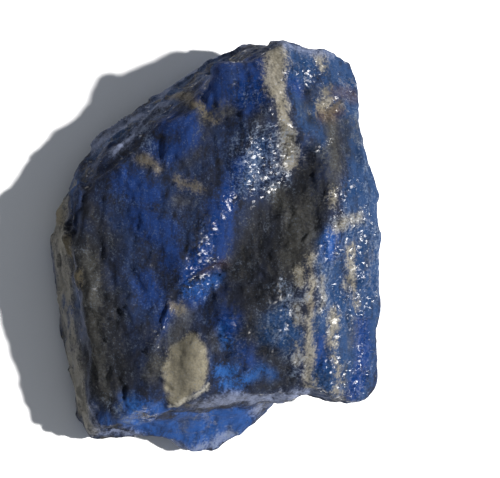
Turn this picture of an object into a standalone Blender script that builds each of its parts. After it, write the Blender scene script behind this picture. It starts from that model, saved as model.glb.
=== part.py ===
# Raw lapis lazuli: one broken lump of blue rock that rests on a flat facet.
#
# The lump is shaped the way it came about. A blank is split along flank, underside and top
# break faces and rounded lumps are joined to it. Then a bay, two terraces and a valley are
# knocked out, pieces that stand out are joined low on the bottom side and at the top corner,
# hollows are scooped, and the whole skin is roughened at three scales.
#
# Lengths below are in millimetres and +Z is up. Seen from above, +Y runs along the banding of
# the rock and +X points at its high side. The last step puts the origin under the middle.

import bpy
import bmesh
from math import cos, radians, sin
from mathutils import Vector

MM = 0.001

BLANK = 160.0
HEART = (2.0, -2.0, 12.0)

# Flanks, clockwise seen from above: start, end, height of that line, lean inwards in degrees
FLANKS = {
    "left_upper": ((-34.6, 2.0), (-33.2, 9.4), 6.0, 14.0),
    "left_corner": ((-33.0, 9.4), (-26.4, 21.0), 8.0, 10.0),
    "upper_left": ((-25.9, 22.3), (-14.7, 30.1), 10.0, 14.0),
    "upper_middle": ((-16.1, 29.3), (-5.7, 39.1), 16.0, 12.0),
    "upper_right": ((-8.3, 40.9), (0.1, 46.9), 18.0, 8.0),
    "top": ((1.0, 46.2), (9.0, 44.2), 22.0, 4.0),
    "top_right": ((9.0, 42.6), (21.0, 40.0), 22.0, 2.0),
    "corner_high": ((21.0, 40.6), (24.8, 38.4), 22.0, -2.0),
    "corner_low": ((24.8, 38.4), (25.8, 33.6), 22.0, -4.0),
    "right_high": ((25.8, 33.6), (27.6, 14.8), 26.0, -6.0),
    "right_middle": ((27.6, 14.8), (31.2, 1.5), 26.0, -7.0),
    "right_low": ((32.3, -1.0), (32.4, -14.0), 25.0, -6.0),
    "right_foot": ((32.2, -14.0), (31.0, -28.6), 22.0, -5.0),
    "heel_corner": ((31.0, -28.6), (28.4, -31.0), 21.0, -4.0),
    "heel": ((28.4, -31.0), (25.0, -31.8), 21.0, 0.0),
    "left_foot": ((-27.6, -37.0), (-31.2, -22.5), 6.0, 6.0),
    "left_low": ((-31.2, -22.5), (-34.5, -2.0), 6.0, 11.0),
}

# The flat facet that the lump rests on, clockwise, with the lean of the break above each side
REST_HEIGHT = 0.0
UNDERSIDE = (
    ((-26.0, 8.0), (-14.0, 24.0), -62.0),
    ((-14.0, 24.0), (4.0, 33.0), -56.0),
    ((4.0, 33.0), (19.0, 28.0), -48.0),
    ((19.0, 28.0), (25.0, 4.0), -42.0),
    ((25.0, 4.0), (24.0, -20.0), -40.0),
    ((24.0, -20.0), (8.0, -31.0), -50.0),
    ((8.0, -31.0), (-20.0, -31.5), -70.0),
    ((-20.0, -31.5), (-28.5, -12.0), -72.0),
    ((-28.5, -12.0), (-26.0, 8.0), -64.0),
)

# Break faces of the top, each through three points that lie on it
TOP_FACES = {
    "left_plateau": ((-32.1, 1.3, 18.0), (-5.1, 4.4, 29.0), (-16.5, -21.0, 25.0)),
    "lower_left": ((-31.8, -10.0, 18.0), (-28.0, -31.6, 14.5), (-16.5, -24.0, 24.0)),
    "upper_left_shoulder": ((-28.0, 20.0, 17.0), (-10.0, 33.5, 21.5), (-1.5, 21.0, 30.4)),
    "crown": ((-5.1, 4.4, 29.4), (13.8, 1.3, 33.9), (-16.5, -21.0, 25.5)),
    "lower_middle": ((-16.0, -22.0, 24.5), (15.6, -12.0, 32.0), (14.4, -29.2, 25.0)),
    "right_slope": ((13.8, 1.3, 33.9), (34.1, -4.2, 24.5), (30.0, -30.0, 21.0)),
    "right_shoulder": ((14.0, 6.3, 34.0), (33.0, 11.3, 26.8), (20.0, -6.0, 32.5)),
    "upper_slope": ((13.0, 12.0, 33.3), (27.4, 34.0, 22.5), (5.4, 43.6, 25.5)),
    "top_shoulder": ((-2.8, 41.0, 24.6), (-7.0, 30.0, 26.2), (-0.8, 22.0, 31.0)),
}

# What is knocked out of the block. Each takes the rock beyond all of its faces, on the side
# where the last point lies.
VALLEY_HEAD = (11.4, 16.3, 28.2)
VALLEY_FOOT = (-17.2, -23.5, 23.3)
KNOCKED_OUT = {
    "bay": (
        ((17.0, -29.0, 22.0), (-12.0, -32.0, 20.0), (-2.0, -34.6, 11.0)),
        ((17.0, -29.0, 22.0), (25.0, -32.0, 22.0), (18.0, -29.6, 8.0)),
        (0.0, -60.0, 12.0),
    ),
    "bay_corner": (
        ((17.2, -29.0, 22.0), (2.0, -34.2, 22.0), (17.0, -29.2, 6.0)),
        ((17.2, -29.0, 22.0), (25.0, -32.0, 22.0), (18.0, -29.6, 8.0)),
        (8.0, -60.0, 12.0),
    ),
    "terrace_low": (
        ((-26.5, 22.0, 14.2), (-15.5, 29.8, 15.6), (-22.0, 19.0, 15.6)),
        ((-24.8, 20.4, 14.2), (-13.6, 28.4, 15.6), (-23.4, 19.2, 20.0)),
        ((-19.0, 34.0, 20.0), (-9.0, 27.0, 20.0), (-16.0, 32.4, 10.0)),
        (-34.0, 24.0, 30.0),
    ),
    "terrace_high": (
        ((-17.0, 27.0, 18.0), (-5.0, 37.4, 20.4), (-10.0, 28.0, 21.4)),
        ((-14.6, 26.8, 18.0), (-4.2, 36.2, 20.4), (-13.2, 25.6, 24.0)),
        ((-12.0, 39.0, 20.0), (-2.0, 34.5, 20.0), (-6.0, 37.0, 10.0)),
        (-30.0, 35.0, 40.0),
    ),
    "valley": (
        (VALLEY_HEAD, VALLEY_FOOT, (-0.8, 22.0, 30.9)),
        (VALLEY_HEAD, VALLEY_FOOT, (13.6, 1.3, 33.6)),
        ((11.4, 16.3, 29.0), (3.3, 22.2, 29.0), (17.3, 24.4, 33.3)),
        (-2.6, -3.6, 60.0),
    ),
}

# What stands out from the block, closed by its own break faces and holding its last point
STANDING_OUT = {
    "lobe": (
        ((-10.4, -34.0, 11.5), (6.5, -33.8, 11.0), (-3.0, -41.4, 5.6)),
        ((-10.6, -41.6, 4.0), (1.6, -42.6, 4.0), (-2.0, -42.0, 6.0)),
        ((1.0, -42.4, 4.0), (6.4, -37.2, 7.0), (0.6, -42.0, 7.0)),
        ((6.4, -37.2, 7.0), (13.2, -32.0, 8.0), (6.0, -36.8, 10.0)),
        ((-12.0, -38.0, 4.0), (-10.4, -42.5, 4.0), (-11.6, -38.0, 9.0)),
        ((-10.0, -42.0, 3.8), (4.0, -42.0, 3.8), (0.0, -31.2, 0.0)),
        ((-40.0, -26.0, 0.0), (40.0, -26.0, 0.0), (0.0, -26.0, 20.0)),
        (-1.0, -34.0, 6.0),
    ),
    "ledge": (
        ((-28.0, -31.6, 14.0), (-10.0, -32.4, 12.6), (-19.0, -39.2, 6.6)),
        ((-27.2, -38.7, 4.0), (-10.5, -38.3, 4.0), (-18.0, -38.4, 8.0)),
        ((-9.8, -41.0, 5.0), (-9.4, -30.0, 5.0), (-10.2, -36.0, 12.0)),
        ((-27.2, -41.0, 4.0), (-29.4, -30.0, 4.0), (-27.8, -36.0, 10.0)),
        ((-27.0, -39.4, 3.0), (-10.0, -39.6, 3.0), (-20.0, -31.5, 0.0)),
        ((-40.0, -30.0, 0.0), (40.0, -30.0, 0.0), (0.0, -30.0, 20.0)),
        (-18.0, -34.0, 7.0),
    ),
    "top_horn": (
        ((25.0, 39.0, 22.0), (25.8, 33.6, 22.0), (24.6, 38.6, 8.0)),
        ((25.8, 33.6, 22.0), (25.0, 26.0, 24.0), (25.0, 33.0, 8.0)),
        ((20.0, 40.8, 22.0), (25.0, 39.0, 22.0), (20.4, 40.4, 8.0)),
        ((20.0, 30.0, 25.9), (27.4, 34.0, 22.3), (20.0, 40.8, 22.6)),
        ((24.0, 38.0, 9.0), (28.0, 34.0, 10.0), (20.0, 28.0, 2.5)),
        ((18.0, 28.0, 0.0), (18.0, 42.0, 0.0), (18.0, 30.0, 20.0)),
        ((10.0, 26.0, 0.0), (30.0, 26.0, 0.0), (20.0, 26.0, 20.0)),
        (24.0, 35.0, 14.0),
    ),
}

# Rounded lumps and scooped hollows: centre, half sizes, and turns about X, Y and Z in degrees
LUMPS = {
    "upper_lump": ((-2.4, 32.6, 24.5), (4.8, 5.4, 2.2), (-16.0, -22.0, 0.0)),
    "second_lump": ((-12.4, 22.4, 22.6), (6.8, 5.4, 2.4), (-16.0, -26.0, 24.0)),
    "pale_egg": ((-9.2, -23.4, 23.0), (4.5, 8.0, 3.0), (21.0, -6.0, -10.0)),
    "rim_knob_upper": ((-30.8, 9.4, 13.6), (2.4, 3.2, 3.6), (0.0, 0.0, 0.0)),
    "rim_knob_lower": ((-32.6, 3.2, 12.6), (2.0, 2.8, 3.0), (0.0, 0.0, 0.0)),
}
SCOOPS = {
    "arc_under_second_lump": ((-12.8, 14.4, 37.6), (15.0, 12.0, 12.0), (0.0, 0.0, 30.0)),
    "arc_under_upper_lump": ((-10.0, 27.6, 37.2), (13.0, 12.0, 12.0), (0.0, 0.0, 0.0)),
    "left_pit": ((-36.4, 6.4, 9.0), (3.2, 2.2, 3.0), (0.0, 0.0, 0.0)),
    "ledge_undercut": ((-19.6, -41.4, 2.4), (3.4, 3.2, 2.8), (0.0, 0.0, 0.0)),
    "lobe_gap": ((-10.4, -42.6, 4.0), (1.7, 3.4, 5.0), (0.0, 0.0, -10.0)),
    "notch_by_egg": ((-14.8, -33.4, 21.0), (2.6, 3.4, 3.2), (0.0, 0.0, 20.0)),
}
LUMP_STEPS = 3

# Roughness of the break: pattern, size of its grain along X, Y and Z, and how deep it goes
ROUGHNESS = {
    "swells": ("CLOUDS", (11.0, 15.0, 11.0), 1.2),
    "scallops": ("VORONOI", (6.0, 8.0, 6.0), 0.9),
    "bands": ("CLOUDS", (2.6, 15.0, 7.0), 0.8),
}
SKIN_GRID = 0.85
TRIANGLES = 9400

LAPIS_COLOUR = (0.020, 0.055, 0.300, 1.0)
LAPIS_ROUGHNESS = 0.38


def millimetres(point):
    return Vector(point) * MM


def cut_away(shape, point, normal):
    """Removes what lies past a plane, on the side that its normal points to, and closes the cut."""
    geometry = shape.verts[:] + shape.edges[:] + shape.faces[:]
    cut = bmesh.ops.bisect_plane(
        shape, geom=geometry, dist=0.00001 * MM, plane_co=point, plane_no=normal, clear_outer=True
    )
    rim = [item for item in cut["geom_cut"] if isinstance(item, bmesh.types.BMEdge)]
    if rim:
        bmesh.ops.contextual_create(shape, geom=rim)


def split_face(shape, face, heart):
    """Splits along the plane through three points, and keeps the side that holds the heart."""
    first, second, third = (millimetres(point) for point in face)
    normal = (second - first).cross(third - first).normalized()
    if (millimetres(heart) - first).dot(normal) > 0:
        normal = -normal
    cut_away(shape, first, normal)


def split_flank(shape, start, end, height, lean):
    """Splits along a side whose line runs clockwise, leaning inwards as it rises."""
    along = (Vector(end) - Vector(start)).normalized()
    tilt = radians(lean)
    normal = Vector((-along.y * cos(tilt), along.x * cos(tilt), sin(tilt)))
    cut_away(shape, millimetres((*start, height)), normal)


def blank(height=0.0):
    shape = bmesh.new()
    bmesh.ops.create_cube(shape, size=BLANK * MM)
    bmesh.ops.translate(shape, verts=shape.verts[:], vec=millimetres((0.0, 0.0, height)))
    return shape


def add_object(name, shape):
    bmesh.ops.recalc_face_normals(shape, faces=shape.faces[:])
    mesh = bpy.data.meshes.new(name)
    shape.to_mesh(mesh)
    shape.free()
    made = bpy.data.objects.new(name, mesh)
    bpy.context.scene.collection.objects.link(made)
    return made


def add_guide(name, shape):
    guide = add_object(name, shape)
    guide.hide_render = True
    guide.display_type = "WIRE"
    return guide


def main_block():
    shape = blank()
    for flank in FLANKS.values():
        split_flank(shape, *flank)
    for start, end, lean in UNDERSIDE:
        split_flank(shape, start, end, REST_HEIGHT, lean)
    for face in TOP_FACES.values():
        split_face(shape, face, HEART)
    return add_object("lapis_lump", shape)


def closed_piece(name, faces, heart):
    """A piece of the blank between break faces, as a guide for joining or knocking out."""
    shape = blank()
    for face in faces:
        split_face(shape, face, heart)
    return add_guide(name, shape)


def rounded(name, centre, half_sizes, turns):
    shape = bmesh.new()
    bmesh.ops.create_icosphere(shape, subdivisions=LUMP_STEPS, radius=1.0)
    bmesh.ops.scale(shape, verts=shape.verts[:], vec=millimetres(half_sizes))
    guide = add_guide(name, shape)
    guide.location = millimetres(centre)
    guide.rotation_euler = [radians(turn) for turn in turns]
    return guide


def combine(lump, guide, operation):
    step = lump.modifiers.new(guide.name, "BOOLEAN")
    step.operation = operation
    step.solver = "EXACT"
    step.object = guide


def skin(lump, name):
    step = lump.modifiers.new(name, "REMESH")
    step.mode = "VOXEL"
    step.voxel_size = SKIN_GRID * MM
    step.adaptivity = 0.0


def roughen(lump, name, pattern, grain, depth):
    field = bpy.data.objects.new(name + "_field", None)
    field.scale = millimetres(grain)
    field.hide_render = True
    bpy.context.scene.collection.objects.link(field)
    texture = bpy.data.textures.new(name, pattern)
    texture.noise_scale = 1.0
    step = lump.modifiers.new(name, "DISPLACE")
    step.texture = texture
    step.texture_coords = "OBJECT"
    step.texture_coords_object = field
    step.direction = "NORMAL"
    step.mid_level = 0.5
    step.strength = depth * MM


def settle(lump):
    """Makes the modifiers so far a plain mesh, with the origin under its middle."""
    evaluated = lump.evaluated_get(bpy.context.evaluated_depsgraph_get())
    mesh = bpy.data.meshes.new_from_object(evaluated)
    lump.modifiers.clear()
    lump.data = mesh
    for axis in (0, 1):
        places = [vertex.co[axis] for vertex in mesh.vertices]
        middle = (min(places) + max(places)) / 2
        for vertex in mesh.vertices:
            vertex.co[axis] -= middle


def thin_out(lump):
    triangles = sum(len(face.vertices) - 2 for face in lump.data.polygons)
    step = lump.modifiers.new("thin_out", "DECIMATE")
    step.ratio = TRIANGLES / triangles


def flatten_base(lump):
    """Cuts the underside off level, so that the lump rests on a true flat facet."""
    ground = add_guide("ground", blank(REST_HEIGHT - BLANK / 2))
    combine(lump, ground, "DIFFERENCE")


def lapis_material():
    material = bpy.data.materials.new("lapis_lazuli")
    material.use_nodes = True
    shader = material.node_tree.nodes["Principled BSDF"]
    shader.inputs["Base Color"].default_value = LAPIS_COLOUR
    shader.inputs["Roughness"].default_value = LAPIS_ROUGHNESS
    shader.inputs["Metallic"].default_value = 0.0
    return material


def build():
    for leftover in list(bpy.data.objects):
        bpy.data.objects.remove(leftover)
    lump = main_block()
    for name, shape in LUMPS.items():
        combine(lump, rounded(name, *shape), "UNION")
    for name, (*faces, heart) in KNOCKED_OUT.items():
        combine(lump, closed_piece(name, faces, heart), "DIFFERENCE")
    for name, (*faces, heart) in STANDING_OUT.items():
        combine(lump, closed_piece(name, faces, heart), "UNION")
    for name, shape in SCOOPS.items():
        combine(lump, rounded(name, *shape), "DIFFERENCE")
    skin(lump, "first_skin")
    for name, (pattern, grain, depth) in ROUGHNESS.items():
        roughen(lump, name, pattern, grain, depth)
    skin(lump, "second_skin")
    settle(lump)
    thin_out(lump)
    flatten_base(lump)
    lump.data.materials.clear()
    lump.data.materials.append(lapis_material())


build()
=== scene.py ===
import math

import bmesh
import bpy
import numpy as np
from mathutils import Matrix, Vector, noise


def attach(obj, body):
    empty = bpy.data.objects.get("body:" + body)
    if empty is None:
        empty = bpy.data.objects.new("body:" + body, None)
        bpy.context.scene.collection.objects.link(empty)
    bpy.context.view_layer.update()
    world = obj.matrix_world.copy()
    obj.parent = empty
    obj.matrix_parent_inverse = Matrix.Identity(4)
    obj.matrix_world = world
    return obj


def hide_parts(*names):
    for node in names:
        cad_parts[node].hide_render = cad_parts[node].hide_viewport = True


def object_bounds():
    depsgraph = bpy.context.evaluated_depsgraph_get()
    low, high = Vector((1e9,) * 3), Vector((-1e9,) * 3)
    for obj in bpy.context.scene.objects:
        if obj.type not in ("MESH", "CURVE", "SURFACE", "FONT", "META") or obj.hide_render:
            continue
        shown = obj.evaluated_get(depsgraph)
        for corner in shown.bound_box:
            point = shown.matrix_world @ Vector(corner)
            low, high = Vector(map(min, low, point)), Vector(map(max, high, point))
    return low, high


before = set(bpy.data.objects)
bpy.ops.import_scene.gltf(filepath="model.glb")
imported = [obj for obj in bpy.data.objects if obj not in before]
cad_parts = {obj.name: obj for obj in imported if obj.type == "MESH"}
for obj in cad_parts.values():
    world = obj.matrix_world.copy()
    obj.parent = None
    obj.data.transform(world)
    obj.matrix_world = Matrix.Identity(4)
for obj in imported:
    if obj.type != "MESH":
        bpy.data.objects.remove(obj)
cadBox = [list(corner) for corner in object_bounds()]
mm = 0.001
farAway = 1e9
outside = -9.0     # a mark's value where it doesn't reach

# The stone is dressed in four steps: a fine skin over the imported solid, the ledges, cracks and
# hollows that have a place of their own, the roughness of the break all over, and the colours.
# Lengths in the dictionaries are in millimetres.

stoneSkin = {
    "grid": 0.45,         # spacing of the fine skin
    "rounding": 5,        # passes that take the solid's facets off
    "waver": 0.45,        # how far the drawn lines wander
    "waverSize": 2.2,
    "waverSeed": 11,
    "footFade": 1.6,      # the resting face stays flat below this height
    "weld": 0.001,        # points of the solid closer than this are one
    "stepWidth": 0.3,     # how sharply a scarp steps down
    "bandStretch": (1.0, 0.50, 0.8),    # the banding runs along Y
    "plateStretch": (1.0, 0.75, 1.0),
}

# Lines and spots of the break: kind, height, width, and the places it runs through
breakLines = {
    "upperLump": ("bump", 0.8, 5.5, [(-2.9, 34.1, 23.8), (-3.8, 30.3, 24.9)]),
    "secondLump": ("bump", 0.8, 5.5, [(-13, 21.3, 23.3), (-10.6, 22, 24.9)]),
    "plateauSwell": ("bump", 0.7, 5, [(-18.8, 9.2, 22), (-17, 6.4, 23.1)]),
    "betweenLumps": ("crack", 0.4, 2, [(-12.1, 29.2, 12.5), (-9.7, 29.4, 18), (-8, 28, 22.8)]),
    "plateauDip": ("crack", 0.5, 2.4, [(-16.4, -0.8, 24.2), (-15.3, -5.5, 24.5), (-14, -10.6, 24.6)]),
    "valleyCrack": ("crack", 0.75, 0.7, [
        (-11.5, -10.2, 25.6), (-9.5, -8.3, 25.9), (-7.1, -6.7, 26), (-4.2, -5.4, 25.8),
        (-1.9, -4.6, 25.8),
    ]),
    "valleyRidge": ("ridge", 0.35, 0.9, [
        (-10.4, -7.7, 26.1), (-8, -5.9, 26.3), (-5.1, -4.7, 26.2), (-2.4, -3.8, 26),
    ]),
    "tipRidge": ("ridge", 0.55, 1.2, [
        (-8.5, -11.4, 25), (-6.4, -10, 25.1), (-4.4, -8.8, 25.1), (-2.1, -6.8, 25.7),
    ]),
    "tipCrack": ("crack", 0.35, 1.2, [
        (-9.2, -13.4, 24.7), (-6.8, -12, 24.8), (-4.4, -10.4, 25.2), (-2.5, -8.2, 25.7),
    ]),
    "edgeRidge": ("ridge", 0.5, 0.5, [
        (-12.5, -13, 24.9), (-13.4, -15.3, 24.6), (-14.4, -17.7, 24.3), (-15.5, -20.1, 24.1),
        (-16.4, -21.6, 23.6),
    ]),
    "edgeCrack": ("crack", 0.35, 0.9, [
        (-11.3, -13.8, 24.9), (-12.2, -15.7, 24.5), (-13.1, -18.1, 24), (-14.2, -20.5, 23.8),
    ]),
    "arcHollow": ("crack", 0.35, 2, [
        (-5.9, 24, 25.8), (-6.1, 20.7, 26.7), (-7.6, 17.9, 26.2), (-9.9, 15.5, 25.5),
        (-12.5, 14.3, 24.7),
    ]),
    "crescentHollow": ("crack", 0.3, 2, [
        (1, 29.3, 27.7), (-0.6, 26, 27.7), (-3.2, 24.8, 26.4), (-5.7, 25.7, 25.1),
    ]),
    "flankLedgeOne": ("ridge", 0.7, 0.5, [
        (-24.4, 20.9, 5.3), (-22.1, 23.4, 6.3), (-20.1, 24.9, 6.6), (-17.9, 26.3, 7.4),
        (-14.6, 28.5, 9.5),
    ]),
    "flankLedgeTwo": ("ridge", 0.6, 0.5, [
        (-22.5, 18.4, 17.3), (-20.3, 20.3, 17.5), (-18.3, 21.7, 17.8), (-15.7, 24.7, 16.2),
        (-12.9, 27.8, 14.9), (-8.2, 32.9, 8.5),
    ]),
    "flankLedgeThree": ("ridge", 0.6, 0.5, [
        (-7.6, 33.7, 7.7), (-4.2, 35.8, 9.8), (-0.2, 39.1, 7.8), (2.6, 40.3, 10.4), (5.6, 41.6, 12.2),
    ]),
    "flankFurrow": ("crack", 0.5, 0.8, [
        (-23.5, 20.5, 9.1), (-21.5, 21.7, 13.4), (-19.1, 23.4, 13.7), (-16.4, 25.9, 13.1),
        (-13.5, 28.5, 11.1),
    ]),
    "rimRidge": ("ridge", 0.7, 0.5, [
        (-30.1, 3.9, 15.1), (-29.6, 5.9, 15.2), (-29.2, 7.4, 16.7), (-29, 10.3, 16.4),
        (-28.1, 13.1, 11.7),
    ]),
    "rimPit": ("pit", 1, 1, [(-31.4, 3.5, 14.3), (-30.8, 4.3, 14.3)]),
    "rimPitTwo": ("pit", 0.8, 0.9, [(-30, 2.5, 15.8), (-30.1, 2.1, 15.9)]),
    "rimSlit": ("crack", 0.9, 0.5, [
        (-32.1, -2.3, 9.2), (-32, -3.9, 8.5), (-31.5, -6.3, 8.2), (-31.1, -7.9, 7.5),
    ]),
    "rimBumpUpper": ("bump", 0.8, 1.5, [(-31.1, 6.7, 6.7), (-31, 5.8, 7.6)]),
    "rimBumpLower": ("bump", 0.8, 1.4, [(-31, 0.1, 14.3), (-30.7, -0.9, 14.2)]),
    "rimRing": ("bump", 0.5, 1.1, [(-29.5, -6.6, 17.7), (-29.3, -8, 17.5)]),
    "rimLine": ("ridge", 0.5, 0.5, [
        (-30.8, -9.2, 9), (-30.2, -13.2, 8.1), (-29.4, -18.3, 8.7), (-28.6, -23.4, 8.7),
        (-27.3, -29.4, 8.8), (-26.4, -33.9, 8.6),
    ]),
    "plateauFurrow": ("crack", 0.5, 0.9, [(-26, -10.6, 20.3), (-23.8, -12.2, 21.2), (-21.6, -14.8, 21.7)]),
    "plateauFurrowTwo": ("crack", 0.5, 0.9, [(-20.3, -5.5, 22), (-19, -7.1, 22.5), (-18.1, -9.4, 22.8)]),
    "plateauFurrowThree": ("crack", 0.4, 0.9, [(-24.8, -3.1, 20), (-23.3, -6.3, 20.8), (-22.6, -9.8, 21.4)]),
    "plateauRidge": ("ridge", 0.4, 0.8, [(-28.7, -12.9, 15.5), (-27.8, -11, 19.6), (-26.4, -7.4, 20.1)]),
    "plateauRidgeTwo": ("ridge", 0.4, 0.8, [
        (-21.8, -15.7, 21.4), (-20.4, -12.6, 22.4), (-19.2, -10.6, 22.5),
    ]),
    "plateauRidgeThree": ("ridge", 0.4, 0.9, [
        (-26.5, -21.3, 17.2), (-25.6, -25.6, 16.6), (-24.3, -29.6, 16.7),
    ]),
    "plateauFurrowFour": ("crack", 0.5, 0.9, [(-27.9, -17.3, 16), (-26.8, -21.7, 16.6), (-25.9, -26.5, 16)]),
    "blackPit": ("crack", 0.6, 0.6, [(-20.5, -28.8, 19.4), (-20.8, -30, 18.9), (-20.7, -31, 18.6)]),
    "eggCrack": ("crack", 0.5, 0.6, [(-16, -25.8, 22.9), (-14, -27.4, 22.8), (-11.8, -29, 22.2)]),
    "eggDome": ("bump", 0.7, 3.2, [(-8.3, -21.6, 25.9), (-8, -26, 25.1)]),
    "eggRim": ("crack", 0.3, 1.2, [
        (-3.7, -27.6, 24.1), (-4.3, -24.4, 25.5), (-5.3, -21.2, 26.4), (-7.1, -18.7, 26),
        (-8.9, -18.5, 25), (-10.8, -20.5, 24.5), (-12.7, -23.6, 24.2),
    ]),
    "ledgeScarp": ("scarp", 0.45, 1.8, [
        (-22.5, -30.8, 17.6), (-20.6, -32, 18.3), (-18.3, -33.6, 18.7), (-14.5, -34.3, 16.7),
        (-11.4, -33.7, 17.4), (-10.5, -33.1, 18.8),
    ]),
    "ledgeLine": ("ridge", 0.6, 0.5, [
        (-25, -37.1, 9.7), (-21.4, -37.6, 9.3), (-19.7, -36.5, 12.1), (-17.1, -37.7, 8.8),
        (-13.8, -38.5, 7.1), (-10.1, -38.9, 7.5),
    ]),
    "ledgeLineTwo": ("ridge", 0.5, 0.5, [
        (-24.6, -35.3, 13.8), (-21.9, -35.7, 15), (-20.1, -35.1, 16), (-16.2, -36.4, 11.4),
        (-12.6, -37.4, 8.3),
    ]),
    "bayEdge": ("ridge", 0.25, 0.5, [
        (-9.8, -32.9, 19.3), (-7.2, -31.2, 21.8), (-4.3, -29.2, 23.5), (-0.6, -30, 23.3),
        (3.6, -30.1, 23.3), (8.4, -29.7, 22.6), (12.4, -28.9, 24.6), (16.5, -29.2, 23.8),
    ]),
    "baySlit": ("crack", 0.5, 0.5, [
        (12.4, -30.2, 22.2), (15, -30.2, 22.1), (22.4, -31.2, 6.7), (23.4, -31.8, 10.1),
    ]),
    "lobeEdge": ("crack", 0.4, 0.8, [
        (-8.3, -34.3, 15), (-3.2, -34.4, 13), (1.4, -34.3, 13.3), (5.3, -34.1, 13.3),
    ]),
    "cornerStep": ("scarp", 0.8, 1.8, [
        (14.9, 25.6, 28.9), (17.4, 27.1, 27.9), (19.7, 28.1, 26.8), (22.5, 30.5, 25.7),
        (26.2, 32.6, 23.8),
    ]),
    "middleStep": ("scarp", 0.7, 1.8, [
        (12, 17.1, 28.9), (13.9, 17.9, 29.5), (16.1, 18.6, 30.4), (19.5, 20.7, 29),
    ]),
    "lowerStep": ("scarp", 0.7, 1.8, [
        (18.3, 9.3, 32.5), (20.5, 10.6, 32.3), (23.1, 12.2, 30.9), (26, 14, 29.5),
    ]),
    "rightStep": ("scarp", 0.6, 1.6, [
        (17.5, 1.2, 33.5), (20.3, 2.5, 32.8), (23.4, 2.9, 31.1), (26.9, 4.1, 29.9),
    ]),
    "rightStepLow": ("scarp", 0.5, 1.5, [(16.5, -5.1, 32.6), (19.3, -3.8, 31.8), (21.7, -2.1, 31.1)]),
    "footStep": ("scarp", 0.6, 1.8, [
        (19.7, -18.5, 28.2), (23.1, -16.5, 27.7), (26.4, -14.8, 26.5), (30.3, -14.8, 25.1),
    ]),
    "footStepTwo": ("scarp", 0.5, 1.5, [(19.5, -28.1, 26.2), (21.6, -26.1, 26.5), (24, -25, 25.8)]),
    "thread": ("crack", 0.3, 0.35, [(10.2, 24.8, 30.5), (13.6, 25.7, 29.2), (17.4, 27.3, 27.8)]),
    "hairline": ("crack", 0.4, 0.4, [
        (18.5, -21.5, 28), (17.6, -23.9, 27.5), (17.1, -26.3, 26.6), (17.5, -28.1, 26),
    ]),
    "facetEdge": ("scarp", 0.3, 2, [
        (-0.4, 9.2, 28.3), (1.6, 10.4, 28.5), (4.2, 11.3, 28.3), (6.7, 11.8, 28.2), (9.3, 13, 28.1),
    ]),
    "facetTop": ("scarp", 0.3, 2, [
        (0.1, 16.6, 29.4), (1.2, 19.8, 29.9), (3.1, 21.4, 30.4), (6.1, 21.5, 30.2),
    ]),
    "veinGroove": ("crack", 0.35, 0.9, [
        (15.2, -3.9, 33.3), (15.6, -8.4, 32.2), (15.7, -13.3, 31.3), (16.2, -19.3, 29.1),
    ]),
    "topHollow": ("pit", 0.8, 2.2, [(16.6, 32.6, 26.4), (14.9, 29.8, 27.8)]),
}

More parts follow.
